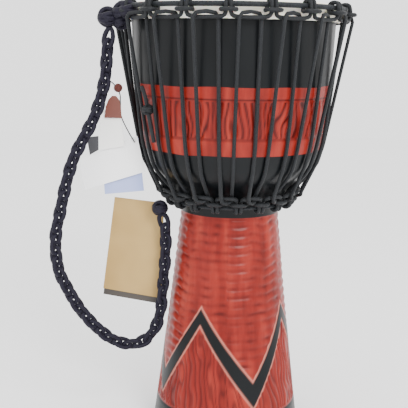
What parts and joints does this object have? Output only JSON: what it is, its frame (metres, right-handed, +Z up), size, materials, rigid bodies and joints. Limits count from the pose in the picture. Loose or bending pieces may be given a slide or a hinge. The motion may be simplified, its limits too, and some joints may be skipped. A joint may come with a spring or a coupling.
{
  "type": "african drum",
  "caption": "Rope-tuned goblet drum with a carved wooden shell, goatskin head, rings, laced rope, carrying strap and hang cards.",
  "frame": {"origin": "centre of the foot's flat rim, on the drum's axis", "axes": "+Z up along the drum's axis to the skin; the pictured front faces -Y and the strap hangs to -X"},
  "size_m": [0.403, 0.3293, 0.6013],
  "materials": {
    "carved_wood": "carved, stained red and painted black, satin",
    "goatskin": "dry scraped skin",
    "ring_steel": "rod wound with black cloth",
    "black_rope": "braided synthetic rope",
    "strap_rope": "chain-braided rope",
    "gold_card": "plain gold card",
    "dark_card": "plain dark card",
    "white_card": "plain white card",
    "blue_card": "plain pale blue card",
    "brown_wood": "dark wooden bead"
  },
  "bodies": {
    "drum": {"shell_bowl": "carved_wood", "shell_stem": "carved_wood", "goatskin_head": "goatskin", "flesh_ring": "ring_steel", "crown_ring": "ring_steel", "bottom_ring": "ring_steel", "top_loop_rope": "black_rope", "bottom_loop_rope": "black_rope", "lacing_rope": "black_rope"},
    "strap": {"strap_cord": "strap_rope", "strap_top_knot": "strap_rope", "strap_bottom_knot": "strap_rope", "gold_card": "gold_card", "card_back": "dark_card", "round_tag": "white_card", "white_card": "white_card", "blue_card": "blue_card", "tag_bead": "brown_wood"}
  },
  "joints": [
    {"name": "strap_swing", "type": "hinge", "parent": "drum", "child": "strap", "pos_m": [-0.164, -0.0597, 0.5815], "axis": [-0.249, -0.0906, 0.9643], "range_deg": [-10, 10]}
  ]
}
